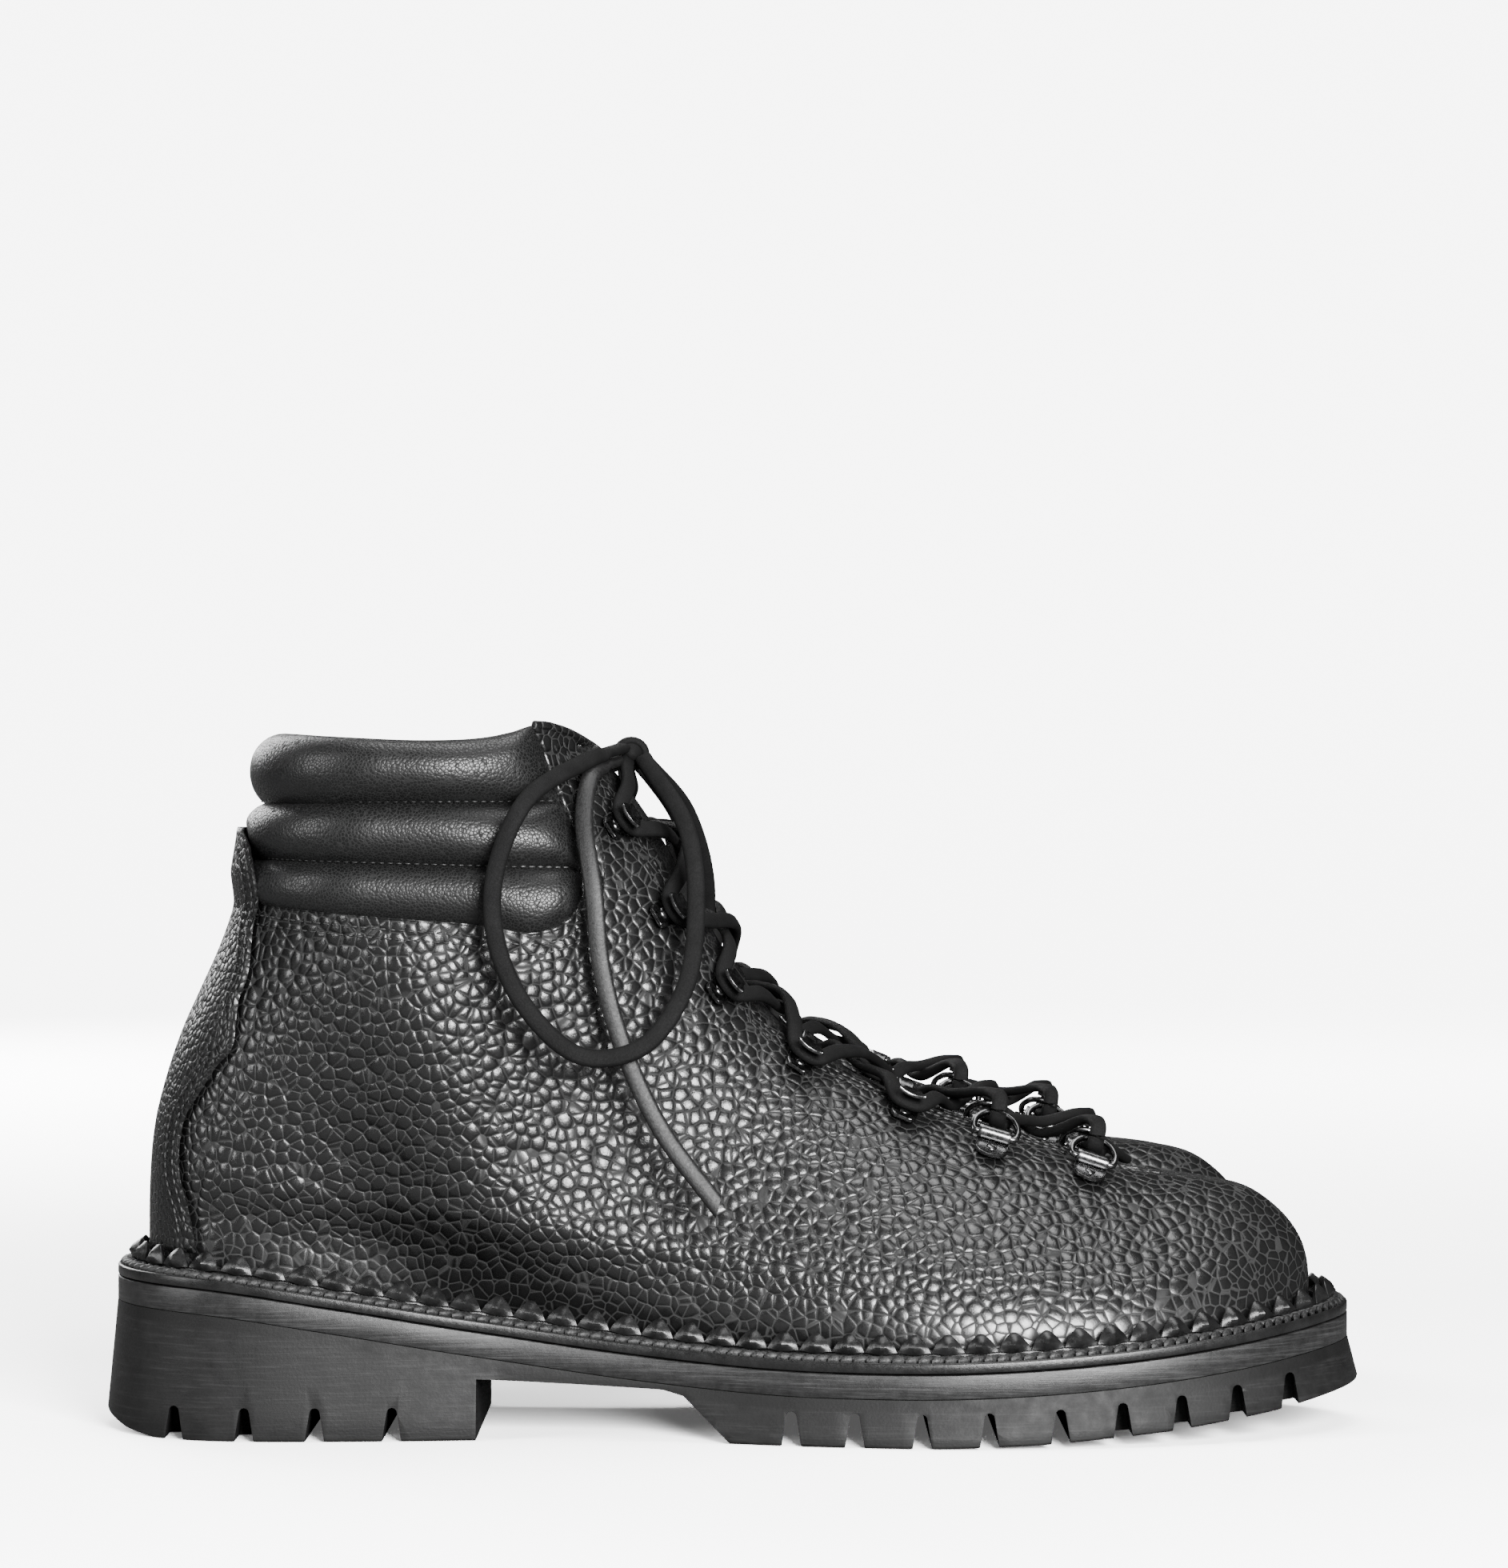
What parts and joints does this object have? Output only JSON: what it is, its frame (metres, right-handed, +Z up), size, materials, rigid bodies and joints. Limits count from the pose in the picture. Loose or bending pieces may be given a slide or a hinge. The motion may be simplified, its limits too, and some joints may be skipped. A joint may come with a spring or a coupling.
{
  "type": "mountaineering boots",
  "caption": "Pair of laced leather mountaineering boots with lugged soles, storm welts, padded collars, lace hooks and swinging D-rings.",
  "frame": {"origin": "centre of the pair on the ground, without the laces", "axes": "+X towards the toes, +Y towards the left boot, +Z up"},
  "size_m": [0.314, 0.225, 0.1724],
  "materials": {
    "grain_leather": "black pebbled leather, waxed to a soft gloss",
    "smooth_leather": "black fine-grain leather, satin",
    "collar_leather": "soft black leather over foam, satin",
    "tongue_leather": "soft black leather over foam, satin",
    "lining_leather": "matt dark lining leather",
    "welt_leather": "black waxed welt leather, glossy teeth",
    "sole_edge": "inked and burnished midsole edge, dark grey",
    "insole_board": "raw leather board",
    "outsole_rubber": "black carbon rubber, matt",
    "shank_steel": "plain spring steel",
    "black_nickel": "black nickel plate, polished",
    "lace_leather": "flat black leather lace, matt with a smooth face"
  },
  "bodies": {
    "right_boot": {"right_outsole": "outsole_rubber", "right_midsole": "sole_edge", "right_shank": "shank_steel", "right_storm_welt": "welt_leather", "right_insole_board": "insole_board", "right_footbed": "lining_leather", "right_upper": "grain_leather", "right_lining": "lining_leather", "right_backstay": "smooth_leather", "right_collar": "collar_leather", "right_tongue": "tongue_leather", "right_lace": "lace_leather", "right_outer_hook_1": "black_nickel", "right_outer_hook_2": "black_nickel", "right_outer_hook_3": "black_nickel", "right_outer_hook_4": "black_nickel", "right_outer_hook_5": "black_nickel", "right_outer_ring_clip_1": "black_nickel", "right_outer_ring_clip_2": "black_nickel", "right_inner_hook_1": "black_nickel", "right_inner_hook_2": "black_nickel", "right_inner_hook_3": "black_nickel", "right_inner_hook_4": "black_nickel", "right_inner_hook_5": "black_nickel", "right_inner_ring_clip_1": "black_nickel", "right_inner_ring_clip_2": "black_nickel"},
    "right_outer_ring_1": {"right_outer_ring_1": "black_nickel"},
    "right_outer_ring_2": {"right_outer_ring_2": "black_nickel"},
    "right_inner_ring_1": {"right_inner_ring_1": "black_nickel"},
    "right_inner_ring_2": {"right_inner_ring_2": "black_nickel"},
    "left_boot": {"left_outsole": "outsole_rubber", "left_midsole": "sole_edge", "left_shank": "shank_steel", "left_storm_welt": "welt_leather", "left_insole_board": "insole_board", "left_footbed": "lining_leather", "left_upper": "grain_leather", "left_lining": "lining_leather", "left_backstay": "smooth_leather", "left_collar": "collar_leather", "left_tongue": "tongue_leather", "left_lace": "lace_leather", "left_outer_hook_1": "black_nickel", "left_outer_hook_2": "black_nickel", "left_outer_hook_3": "black_nickel", "left_outer_hook_4": "black_nickel", "left_outer_hook_5": "black_nickel", "left_outer_ring_clip_1": "black_nickel", "left_outer_ring_clip_2": "black_nickel", "left_inner_hook_1": "black_nickel", "left_inner_hook_2": "black_nickel", "left_inner_hook_3": "black_nickel", "left_inner_hook_4": "black_nickel", "left_inner_hook_5": "black_nickel", "left_inner_ring_clip_1": "black_nickel", "left_inner_ring_clip_2": "black_nickel"},
    "left_outer_ring_1": {"left_outer_ring_1": "black_nickel"},
    "left_outer_ring_2": {"left_outer_ring_2": "black_nickel"},
    "left_inner_ring_1": {"left_inner_ring_1": "black_nickel"},
    "left_inner_ring_2": {"left_inner_ring_2": "black_nickel"}
  },
  "joints": [
    {"name": "right_outer_ring_1_swing", "type": "hinge", "parent": "right_boot", "child": "right_outer_ring_1", "pos_m": [0.08983, -0.07644, 0.06609], "axis": [0.9498, 0.0106, -0.3126], "range_deg": [-5, 4]},
    {"name": "right_outer_ring_2_swing", "type": "hinge", "parent": "right_boot", "child": "right_outer_ring_2", "pos_m": [0.06573, -0.07925, 0.07245], "axis": [0.9579, -0.0043, -0.2872], "range_deg": [-5, 4]},
    {"name": "right_inner_ring_1_swing", "type": "hinge", "parent": "right_boot", "child": "right_inner_ring_1", "pos_m": [0.08969, -0.04084, 0.06607], "axis": [-0.9623, -0.0071, 0.2718], "range_deg": [-5, 4]},
    {"name": "right_inner_ring_2_swing", "type": "hinge", "parent": "right_boot", "child": "right_inner_ring_2", "pos_m": [0.06559, -0.04082, 0.07239], "axis": [-0.9674, -0.0256, 0.2519], "range_deg": [-5, 4]},
    {"name": "left_outer_ring_1_swing", "type": "hinge", "parent": "left_boot", "child": "left_outer_ring_1", "pos_m": [0.08583, 0.07644, 0.06609], "axis": [-0.9498, 0.0106, 0.3126], "range_deg": [-5, 4]},
    {"name": "left_outer_ring_2_swing", "type": "hinge", "parent": "left_boot", "child": "left_outer_ring_2", "pos_m": [0.06173, 0.07925, 0.07245], "axis": [-0.9579, -0.0043, 0.2872], "range_deg": [-5, 4]},
    {"name": "left_inner_ring_1_swing", "type": "hinge", "parent": "left_boot", "child": "left_inner_ring_1", "pos_m": [0.08569, 0.04084, 0.06607], "axis": [0.9623, -0.0071, -0.2718], "range_deg": [-5, 4]},
    {"name": "left_inner_ring_2_swing", "type": "hinge", "parent": "left_boot", "child": "left_inner_ring_2", "pos_m": [0.06159, 0.04082, 0.07239], "axis": [0.9674, -0.0256, -0.2519], "range_deg": [-5, 4]},
    {"name": "left_boot_lift", "type": "slide", "parent": "right_boot", "child": "left_boot", "axis": [0, 0, 1], "range_m": [0, 0.2]}
  ]
}
